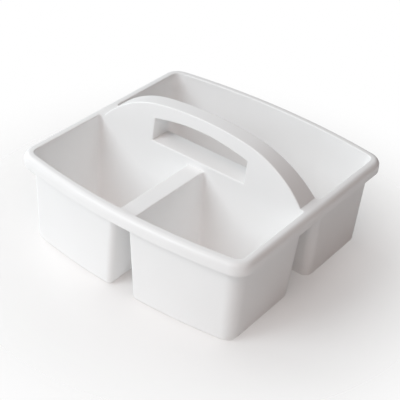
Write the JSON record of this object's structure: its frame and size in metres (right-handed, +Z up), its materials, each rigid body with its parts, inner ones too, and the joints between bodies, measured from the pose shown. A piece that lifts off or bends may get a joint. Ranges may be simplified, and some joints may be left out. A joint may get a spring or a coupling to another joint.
{
  "type": "shower caddy",
  "caption": "Open carry caddy with two small bins, one full-width bin, a rolled rim and a fixed arched handle with a hand opening.",
  "frame": {"origin": "floor plane under the three bins, at the middle of the plan", "axes": "+Z up, X across the two small bins, +Y from the small bins towards the large bin"},
  "size_m": [0.235, 0.233, 0.1243],
  "materials": {
    "moulded_plastic": "white polypropylene, satin moulded surface"
  },
  "bodies": {
    "root": {"front_left_bin": "moulded_plastic", "front_right_bin": "moulded_plastic", "rear_bin": "moulded_plastic", "rim": "moulded_plastic", "divider": "moulded_plastic", "handle": "moulded_plastic"}
  },
  "joints": []
}
